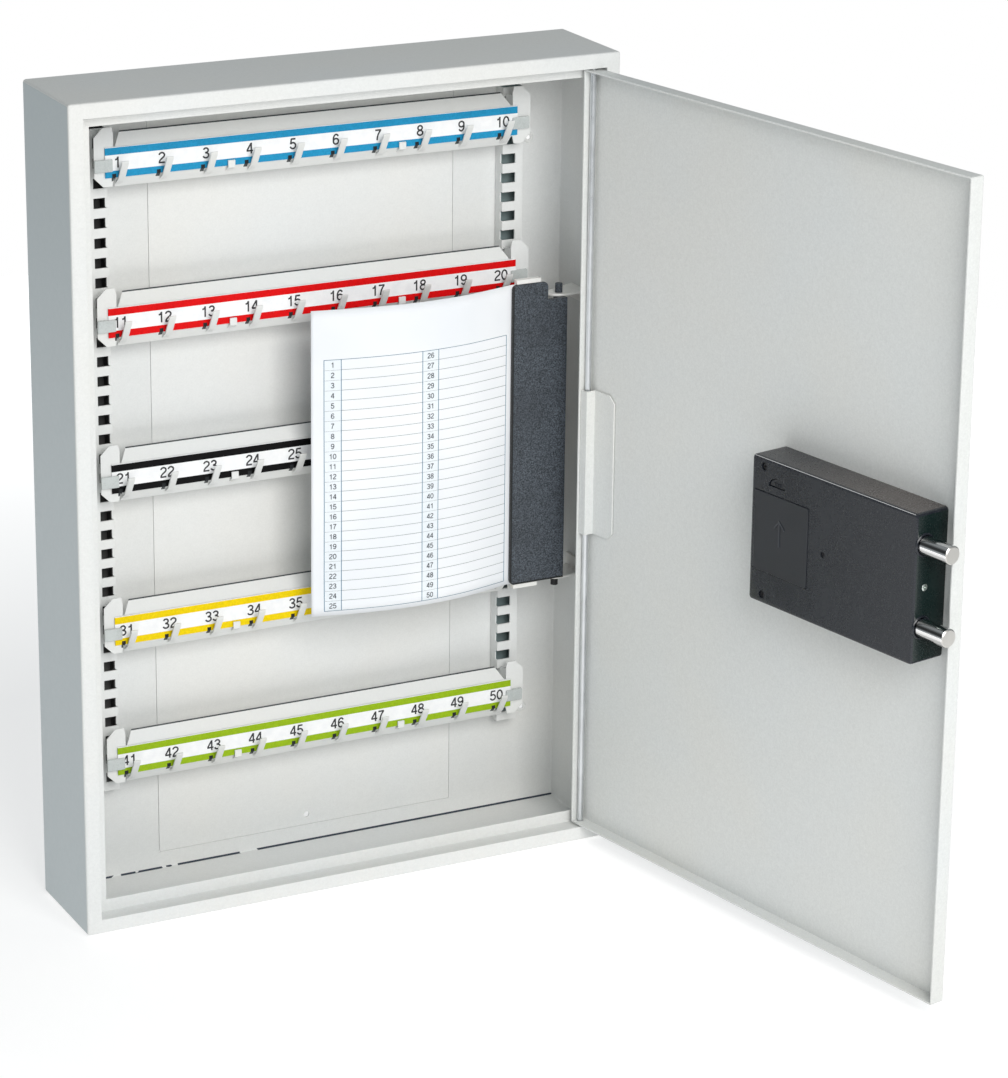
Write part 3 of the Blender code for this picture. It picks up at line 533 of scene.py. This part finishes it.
# Each numeral as the centre lines of its strokes, one unit high.
SIX = [arc(0.285, 0.31, 0.205, 0.258, 0, 360, 24), arc(0.300, 0.5, 0.220, 0.448, 38, 190, 14)]
STROKES = {
    "0": [arc(0.275, 0.5, 0.215, 0.448, 0, 360, 26)],
    "1": [[(0.115, 0.745), (0.20, 0.757), (0.27, 0.80), (0.31, 0.87), (0.325, 0.96)], [(0.335, 0.0), (0.335, 1.0)]],
    "2": [arc(0.275, 0.72, 0.205, 0.228, 172, -25, 14) + [(0.40, 0.53), (0.22, 0.36), (0.115, 0.22), (0.075, 0.06)], [(0.03, 0.052), (0.505, 0.052)]],
    "3": [arc(0.265, 0.742, 0.185, 0.206, 165, -85, 16), arc(0.265, 0.275, 0.215, 0.225, 95, -168, 18), [(0.20, 0.525), (0.30, 0.525)]],
    "4": [[(0.375, 0.95), (0.055, 0.30)], [(0.025, 0.275), (0.53, 0.275)], [(0.395, 0.0), (0.395, 1.0)]],
    "5": [[(0.125, 0.947), (0.475, 0.947)], [(0.150, 0.99), (0.085, 0.47)], arc(0.265, 0.325, 0.215, 0.275, 142, -165, 20)],
    "6": SIX,
    "7": [[(0.04, 0.947), (0.515, 0.947)], [(0.485, 0.93), (0.36, 0.73), (0.26, 0.48), (0.205, 0.22), (0.19, 0.0)]],
    "8": [arc(0.275, 0.742, 0.178, 0.206, 0, 360, 22), arc(0.275, 0.275, 0.215, 0.225, 0, 360, 24)],
    "9": [[(0.55 - x, 1 - y) for x, y in stroke] for stroke in SIX],
}
ADVANCE, WIDE = 0.735, 1.24


def glyphs(text, height, weight=0.054, depth=0.00003):
    """Some numerals as closed strokes of one thickness, centred on the origin, facing +Z."""
    bm = bmesh.new()
    total = ADVANCE * len(text)
    for place, digit in enumerate(text):
        for level, stroke in enumerate(STROKES[digit]):
            points = [Vector(((x - 0.275) * WIDE + ADVANCE * (place + 0.5) - total / 2, y - 0.5)) for x, y in stroke]
            ring = (points[0] - points[-1]).length < 1e-6
            if ring:
                points.pop()
            n = len(points)
            left, right = [], []
            for k, p in enumerate(points):
                before = points[k - 1] if (k or ring) else None
                after = points[(k + 1) % n] if (k < n - 1 or ring) else None
                d1 = (p - before).normalized() if before is not None else (after - p).normalized()
                d2 = (after - p).normalized() if after is not None else d1
                along = (d1 + d2).normalized()
                side = Vector((-along.y, along.x)) * (weight / max(0.6, along.dot(d1)))
                left.append((p + side) * height)
                right.append((p - side) * height)
            top = depth * (1 + 0.12 * level)
            rows = [[bm.verts.new((q.x, q.y, z)) for q in line] for line, z in ((left, top), (right, top), (right, -depth), (left, -depth))]
            for a, b in zip(rows, rows[1:] + rows[:1]):
                for k in range(n if ring else n - 1):
                    bm.faces.new((a[k], b[k], b[(k + 1) % n], a[(k + 1) % n]))
            if not ring:
                bm.faces.new([row[0] for row in reversed(rows)])
                bm.faces.new([row[-1] for row in rows])
    return bm


INK = moulded("label_ink", (0.022, 0.022, 0.026), 0.5, 0.1)
FRONT = Matrix(((1, 0, 0, 0), (0, 0, -1, 0), (0, 1, 0, 0), (0, 0, 0, 1)))
for bar, zc in enumerate(BAR_Z):
    whole = bmesh.new()
    for k in range(10):
        bm = glyphs(str(bar * 10 + k + 1), 0.0070, 0.076)
        bm.transform(Matrix.Translation(Vector((-138.0 + 30 * k, -26.13, zc - 3.3)) * MM) @ FRONT)
        part = bpy.data.meshes.new("digit")
        bm.to_mesh(part)
        bm.free()
        whole.from_mesh(part)
        bpy.data.meshes.remove(part)
    piece(f"bar_numerals_{bar + 1}", to_mesh(whole, f"bar_numerals_{bar + 1}", False), INK, "cabinet")

# ---- the register page: a bowed sheet with a printed table
SHEET_X, PLATE_X, BULGE = (-15.0, 137.0), 131.0, 10.5
PAGE_Z = (-93.7, 116.0)


def paper_y(x):
    if x >= PLATE_X:
        return -43.35
    s = (PLATE_X - x) / (PLATE_X - SHEET_X[0])
    return -43.35 - BULGE * math.sin(math.pi * s) - 2.0 * min(1.0, s * 4)


line = [(SHEET_X[0] + (SHEET_X[1] - SHEET_X[0]) * k / 400, 0) for k in range(401)]
line = [Vector((x, paper_y(x))) for x, _ in line]
run = [0.0]
for a, b in zip(line, line[1:]):
    run.append(run[-1] + (b - a).length)
PAGE_W = run[-1]


def page_at(u):
    """Where the page is, in x and y, at u mm along it from its left edge, and its direction there."""
    u = min(max(u, 0.0), PAGE_W)
    k = min(range(len(run) - 1), key=lambda i: 0 if run[i] <= u <= run[i + 1] else 1 + abs(run[i] - u))
    f = (u - run[k]) / (run[k + 1] - run[k])
    here = line[k].lerp(line[k + 1], f)
    return here, (line[k + 1] - line[k]).normalized()


bm = bmesh.new()
uv = bm.loops.layers.uv.new("page")
cols, rows = 72, 28
grid = []
for i in range(cols + 1):
    u = PAGE_W * i / cols
    here, along = page_at(u)
    column = []
    for j in range(rows + 1):
        v = (PAGE_Z[1] - PAGE_Z[0]) * j / rows
        # The free corners relax a little, towards the back at the top and forwards at the bottom.
        free = max(0.0, 1 - u / 60.0) ** 2
        lean = free * (0.9 * math.cos(math.pi * j / rows) + 0.25 * math.sin(3 * math.pi * j / rows))
        vert = bm.verts.new(Vector((here.x, here.y + lean * 0.6 + 0.12 * math.sin(u / 19.0 + j * 0.45) * math.sin(math.pi * min(1, (PAGE_W - u) / 60.0) / 2), PAGE_Z[0] + v)) * MM)
        column.append((vert, u, v))
    grid.append(column)
for i in range(cols):
    for j in range(rows):
        corners = [grid[i][j], grid[i + 1][j], grid[i + 1][j + 1], grid[i][j + 1]]
        face = bm.faces.new([c[0] for c in corners])
        for loop, c in zip(face.loops, corners):
            loop[uv].uv = (c[1] / 1000, c[2] / 1000)
bm.normal_update()
mesh = bpy.data.meshes.new("register_page")
bm.to_mesh(mesh)
bm.free()
mesh.shade_smooth()


def page_print():
    p = Paint("register_page_print", (0.9, 0.9, 0.92), 0.62, specular=0.25)
    p.bsdf.inputs["Subsurface Weight"].default_value = 0.0
    uvs = p.node("ShaderNodeUVMap", uv_map="page").outputs[0]
    u, v, _ = p.split(uvs)
    height = (PAGE_Z[1] - PAGE_Z[0]) * MM
    down = p.math("SUBTRACT", height, v)

    def inside(value, lo, hi):
        return p.math("MULTIPLY", p.math("GREATER_THAN", value, lo), p.math("LESS_THAN", value, hi))

    def either(values):
        total = values[0]
        for other in values[1:]:
            total = p.math("ADD", total, other, True)
        return total

    top, pitch, count = 33.6 * MM, 6.92 * MM, 25
    table = inside(down, top - 0.0001, top + pitch * count + 0.0001)
    verticals = either([inside(u, x * MM - 0.00024, x * MM + 0.00024) for x in (8.6, 20.1, 76.3, 88.1, 144.3)])
    rules = p.math("MULTIPLY", verticals, table)
    phase = p.math("FRACT", p.math("DIVIDE", p.math("SUBTRACT", down, top - 0.00011), pitch))
    rows_on = p.math("MULTIPLY", p.math("LESS_THAN", phase, 0.045), table)
    wide = either([inside(u, 20.1 * MM, 76.3 * MM), inside(u, 88.1 * MM, 144.3 * MM)])
    narrow = either([inside(u, 8.6 * MM, 20.1 * MM), inside(u, 76.3 * MM, 88.1 * MM)])
    dashes = p.math("GREATER_THAN", p.math("FRACT", p.math("MULTIPLY", u, 1250.0)), 0.45)
    lines = p.math("ADD", p.math("MULTIPLY", rows_on, wide), p.math("MULTIPLY", p.math("MULTIPLY", rows_on, narrow), dashes), True)
    ends = p.math("MULTIPLY", either([inside(down, top - 0.0002, top + 0.0002), inside(down, top + pitch * count - 0.0002, top + pitch * count + 0.0002)]), inside(u, 8.6 * MM, 144.3 * MM))
    fibre = p.noise(900, 3.0, 0.6)
    cloud = p.noise(14, 2.0, 0.5)
    white = p.mix(p.span(cloud, 0.35, 0.65, 0, 1), (0.80, 0.825, 0.86), (0.86, 0.875, 0.90))
    tinted = p.mix(p.math("MULTIPLY", p.math("MULTIPLY", narrow, table), 0.25), white, (0.66, 0.78, 0.85))
    ruled = p.mix(lines, tinted, (0.20, 0.225, 0.24))
    framed = p.mix(ends, ruled, (0.12, 0.20, 0.27))
    p.color(p.mix(rules, framed, (0.055, 0.17, 0.27)))
    p.rough(p.span(fibre, 0.3, 0.7, 0.55, 0.7))
    p.bump(fibre, 0.1, 0.00003)
    return p.mat


page = piece("register_page", mesh, page_print(), "register")
thick = page.modifiers.new("paper", "SOLIDIFY")
thick.thickness = 0.0002
thick.offset = 0
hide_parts("register_sheet")

whole = bmesh.new()
for k in range(50):
    bm = glyphs(str(k + 1), 0.0035, 0.078, 0.00001)
    u0 = 14.3 if k < 25 else 82.2
    down = 33.6 + 6.92 * (k % 25 + 0.5)
    for vert in bm.verts:
        here, along = page_at(u0 + vert.co.x / MM)
        out = Vector((along.y, -along.x))
        if out.y > 0:
            out = -out
        z = PAGE_Z[1] - down + vert.co.y / MM
        j = (z - PAGE_Z[0]) / (PAGE_Z[1] - PAGE_Z[0])
        u = u0 + vert.co.x / MM
        free = max(0.0, 1 - u / 60.0) ** 2
        lean = free * (0.9 * math.cos(math.pi * j) + 0.25 * math.sin(3 * math.pi * j))
        wave = 0.12 * math.sin(u / 19.0 + j * rows * 0.45) * math.sin(math.pi * min(1, (PAGE_W - u) / 60.0) / 2)
        off = 0.13 + (0.02 if vert.co.z > 0 else 0.0)
        vert.co = Vector((here.x + out.x * off, here.y + lean * 0.6 + wave + out.y * off, z)) * MM
    part = bpy.data.meshes.new("digit")
    bm.to_mesh(part)
    bm.free()
    whole.from_mesh(part)
    bpy.data.meshes.remove(part)
piece("register_numerals", to_mesh(whole, "register_numerals", False), moulded("register_ink", (0.06, 0.07, 0.085), 0.6, 0.1), "register")


# ---- screws of the lock, each with a recessed cross
def screw(name, centre, normal, radius, material, body="door", height=1.0):
    """A countersunk-looking head with a cross recess. Its top is at `centre`, facing `normal`."""
    bm = bmesh.new()
    ring = []
    sides = 28
    profile = [(radius, -height), (radius, -0.25), (radius * 0.86, -0.02), (radius * 0.62, 0.0)]
    for r, h in profile:
        ring.append([bm.verts.new((r * math.cos(2 * math.pi * k / sides), r * math.sin(2 * math.pi * k / sides), h)) for k in range(sides)])
    for a, b in zip(ring, ring[1:]):
        for k in range(sides):
            bm.faces.new((a[k], a[(k + 1) % sides], b[(k + 1) % sides], b[k]))
    # The recess: the inner ring follows a four-armed star and drops to a floor.
    star, floor = [], []
    for k in range(sides):
        angle = 2 * math.pi * k / sides
        reach = radius * (0.52 if abs(math.sin(2 * angle)) < 0.45 else 0.20)
        star.append(bm.verts.new((reach * math.cos(angle), reach * math.sin(angle), 0.0)))
        floor.append(bm.verts.new((reach * 0.8 * math.cos(angle), reach * 0.8 * math.sin(angle), -0.55)))
    top = ring[-1]
    for k in range(sides):
        n = (k + 1) % sides
        bm.faces.new((top[k], top[n], star[n], star[k]))
        bm.faces.new((star[k], star[n], floor[n], floor[k]))
    bm.faces.new(floor)
    bm.faces.new(list(reversed(ring[0])))
    for vert in bm.verts:
        vert.co *= MM
    z = normal.normalized()
    x = Vector((0, 0, 1)).cross(z).normalized()
    y = z.cross(x)
    world = Matrix(((x.x, y.x, z.x, centre.x), (x.y, y.y, z.y, centre.y), (x.z, y.z, z.z, centre.z), (0, 0, 0, 1)))
    return piece(name, to_mesh(bm, name), material, body, world)


BLACK_SCREW = brushed("black_screw", (0.05, 0.05, 0.055), 0.36, (1, 1, 1), 0.2)
screw("lock_screw_top", door_point(201, -16.2, 51), -VD, 2.45, BLACK_SCREW)
screw("lock_screw_bottom", door_point(202, -16.2, -33), -VD, 2.45, BLACK_SCREW)
screw("lock_screw_centre", door_point(256.6, -16.4, 8.8), -VD, 1.9, BLACK_SCREW)
screw("lock_screw_side", door_point(337.5, -8.0, 9.3), UD, 2.2, brushed("zinc_screw", (0.74, 0.80, 0.76), 0.3, (1, 1, 1)))


# ---- a turned collar round each bolt and round the knob
def collar(name, centre, normal, inner, outer, rise, material, body):
    bm = bmesh.new()
    sides = 40
    profile = [(inner, -0.5), (inner, rise * 0.6), (inner + 0.25, rise), (outer - 0.5, rise), (outer, rise * 0.35), (outer, -0.5)]
    rings = [[bm.verts.new((r * math.cos(2 * math.pi * k / sides), r * math.sin(2 * math.pi * k / sides), h)) for k in range(sides)] for r, h in profile]
    for a, b in zip(rings, rings[1:] + rings[:1]):
        for k in range(sides):
            bm.faces.new((a[k], a[(k + 1) % sides], b[(k + 1) % sides], b[k]))
    for vert in bm.verts:
        vert.co *= MM
    z = normal.normalized()
    x = Vector((0, 0, 1)).cross(z).normalized()
    y = z.cross(x)
    world = Matrix(((x.x, y.x, z.x, centre.x), (x.y, y.y, z.y, centre.y), (x.z, y.z, z.z, centre.z), (0, 0, 0, 1)))
    return piece(name, to_mesh(bm, name), material, body, world)


for name, z in (("bolt_collar_upper", 36.5), ("bolt_collar_lower", -16.0)):
    collar(name, door_point(337, -9.3, z), UD, 6.25, 7.6, 0.7, CASE, "door")
collar("keypad_knob_ring", door_point(275, 21.0, 10), VD, 6.2, 22.5, 0.7, KNOB, "door")

# ---- legends on the keys: numerals, a cross and a tick
LEGEND = moulded("key_legend", (0.86, 0.87, 0.88), 0.45, 0.1)
OUTSIDE = Matrix(((-UD.x, 0, VD.x, 0), (-UD.y, 0, VD.y, 0), (-UD.z, 1, VD.z, 0), (0, 0, 0, 1)))
KEY_U, KEY_Z = (255.0, 275.0, 295.0), (90.0, 76.0, 62.0, 48.0)


def bar_shape(bm, a, b, width, depth=0.00004):
    a, b = Vector(a), Vector(b)
    side = Vector((-(b - a).y, (b - a).x)).normalized() * width / 2
    low = [bm.verts.new((p.x, p.y, -depth)) for p in (a - side, b - side, b + side, a + side)]
    high = [bm.verts.new((p.x, p.y, depth)) for p in (a - side, b - side, b + side, a + side)]
    bm.faces.new(list(reversed(low)))
    bm.faces.new(high)
    for k in range(4):
        bm.faces.new((low[k], low[(k + 1) % 4], high[(k + 1) % 4], high[k]))


for index, key in enumerate(KEY_NAMES):
    row, column = divmod(index, 3)
    if key == "cancel":
        bm = bmesh.new()
        bar_shape(bm, (-0.0017, -0.0017), (0.0017, 0.0017), 0.0006)
        bar_shape(bm, (-0.0017, 0.0017), (0.0017, -0.0017), 0.0006, 0.00005)
    elif key == "enter":
        bm = bmesh.new()
        bar_shape(bm, (-0.0020, 0.0001), (-0.0006, -0.0014), 0.0006)
        bar_shape(bm, (-0.0008, -0.0014), (0.0021, 0.0018), 0.0006, 0.00005)
    else:
        bm = glyphs(key, 0.0046, 0.062, 0.00004)
    at = door_point(KEY_U[2 - column], 22.42, KEY_Z[row])
    piece(f"legend_{key}", to_mesh(bm, f"legend_{key}", False), LEGEND, f"key_{key}", Matrix.Translation(at) @ OUTSIDE)

# ---- the catch that fills the finger notch above the cover: a rounded plate with a small grip
bm = bmesh.new()
outline = [(7.0 * math.cos(math.radians(a)), -2.0 + 5.3 * math.sin(math.radians(a))) for a in range(0, 181, 12)]
rings = []
for inset, h in ((0.0, -1.2), (0.0, -0.25), (0.35, 0.0)):
    rings.append([bm.verts.new((x * (1 - inset / 7), y * (1 - inset / 6), h)) for x, y in outline])
for a, b in zip(rings, rings[1:]):
    for k in range(len(outline)):
        bm.faces.new((a[k], a[(k + 1) % len(outline)], b[(k + 1) % len(outline)], b[k]))
bm.faces.new(rings[-1])
bm.faces.new(list(reversed(rings[0])))
for dx in (-2.1, 0.0, 2.1):
    ring_low = [bm.verts.new((dx + x, y, -0.1)) for x, y in ((-0.75, -1.2), (0.75, -1.2), (0.75, 0.8), (-0.75, 0.8))]
    ring_high = [bm.verts.new((dx + x * 0.8, -0.2 + (y + 0.2) * 0.8, 0.55)) for x, y in ((-0.75, -1.2), (0.75, -1.2), (0.75, 0.8), (-0.75, 0.8))]
    for k in range(4):
        bm.faces.new((ring_low[k], ring_low[(k + 1) % 4], ring_high[(k + 1) % 4], ring_high[k]))
    bm.faces.new(ring_high)
    bm.faces.new(list(reversed(ring_low)))
for vert in bm.verts:
    vert.co *= MM
INSIDE = Matrix(((UD.x, 0, -VD.x, 0), (UD.y, 0, -VD.y, 0), (UD.z, 1, -VD.z, 0), (0, 0, 0, 1)))
piece("cover_catch", to_mesh(bm, "cover_catch"), COVER, "battery_cover", Matrix.Translation(door_point(213, -16.3, 42.35)) @ INSIDE)

# ---- a pressed rim in each wall-screw hole
for name, x, z in (("top_left", -164, 203.5), ("top_right", 164, 203.5), ("bottom_left", -164, -203.5), ("bottom_right", 164, -203.5)):
    collar(f"hole_rim_{name}", Vector((x, -0.9, z)) * MM, Vector((0, -1, 0)), 1.5, 3.42, 0.45, COAT_RAIL, "cabinet")

# ---- a moulded arrow on the battery cover, where it is pushed to open
bm = bmesh.new()
bar_shape(bm, (0.0, -0.0085), (0.0, 0.0075), 0.0013, 0.00030)
bar_shape(bm, (-0.0045, 0.0033), (0.0004, 0.0085), 0.0013, 0.00032)
bar_shape(bm, (0.0045, 0.0033), (-0.0004, 0.0085), 0.0013, 0.00034)
piece("cover_arrow", to_mesh(bm, "cover_arrow", False), moulded("cover_arrow_plastic", (0.030, 0.034, 0.042), 0.4, 0.1), "battery_cover", Matrix.Translation(door_point(217, -17.55, 11)) @ INSIDE)

# ------------------------------------------------------------- floor, light
bm = bmesh.new()
bmesh.ops.create_circle(bm, cap_ends=True, segments=96, radius=1.5)
floor = bpy.data.objects.new("floor", to_mesh(bm, "floor", False))
bpy.context.scene.collection.objects.link(floor)
floor.location = (0, 0, -0.2768)
ground = Paint("pale_floor", (0.55, 0.55, 0.55), 0.85, specular=0.0)
reach = ground.node("ShaderNodeVectorMath", operation="LENGTH")
ground.link(ground.coord, reach.inputs[0])
ground.bsdf.inputs["Emission Color"].default_value = (1, 1, 1, 1)
ground.link(ground.span(reach.outputs["Value"], 0.35, 1.2, 0.60, 1.0), ground.bsdf.inputs["Emission Strength"])
ground.color(ground.mix(ground.span(ground.noise(3, 2.0, 0.5), 0.3, 0.7, 0, 1), (0.54, 0.54, 0.54), (0.56, 0.56, 0.56)))
floor.data.materials.append(ground.mat)

world = bpy.data.worlds.new("studio")
bpy.context.scene.world = world
world.use_nodes = True
wt = world.node_tree
wt.nodes.clear()
path = wt.nodes.new("ShaderNodeLightPath")
lit = wt.nodes.new("ShaderNodeBackground")
lit.inputs["Color"].default_value = (0.90, 0.97, 1.0, 1)
lit.inputs["Strength"].default_value = 0.34
seen = wt.nodes.new("ShaderNodeBackground")
seen.inputs["Color"].default_value = (1, 1, 1, 1)
seen.inputs["Strength"].default_value = 1.0
blend = wt.nodes.new("ShaderNodeMixShader")
out = wt.nodes.new("ShaderNodeOutputWorld")
wt.links.new(path.outputs["Is Camera Ray"], blend.inputs[0])
wt.links.new(lit.outputs[0], blend.inputs[1])
wt.links.new(seen.outputs[0], blend.inputs[2])
wt.links.new(blend.outputs[0], out.inputs["Surface"])


def softbox(name, at, look, size, power, color=(1, 1, 1)):
    data = bpy.data.lights.new(name, "AREA")
    data.shape = "RECTANGLE"
    data.size, data.size_y = size
    data.energy = power
    data.color = color
    obj = bpy.data.objects.new(name, data)
    bpy.context.scene.collection.objects.link(obj)
    obj.location = at
    obj.rotation_euler = (Vector(look) - Vector(at)).to_track_quat("-Z", "Y").to_euler()
    return obj


softbox("key", (-0.12, -1.85, 0.95), (0.05, -0.1, 0.0), (1.1, 1.1), 28.5, (1.0, 0.985, 0.965))
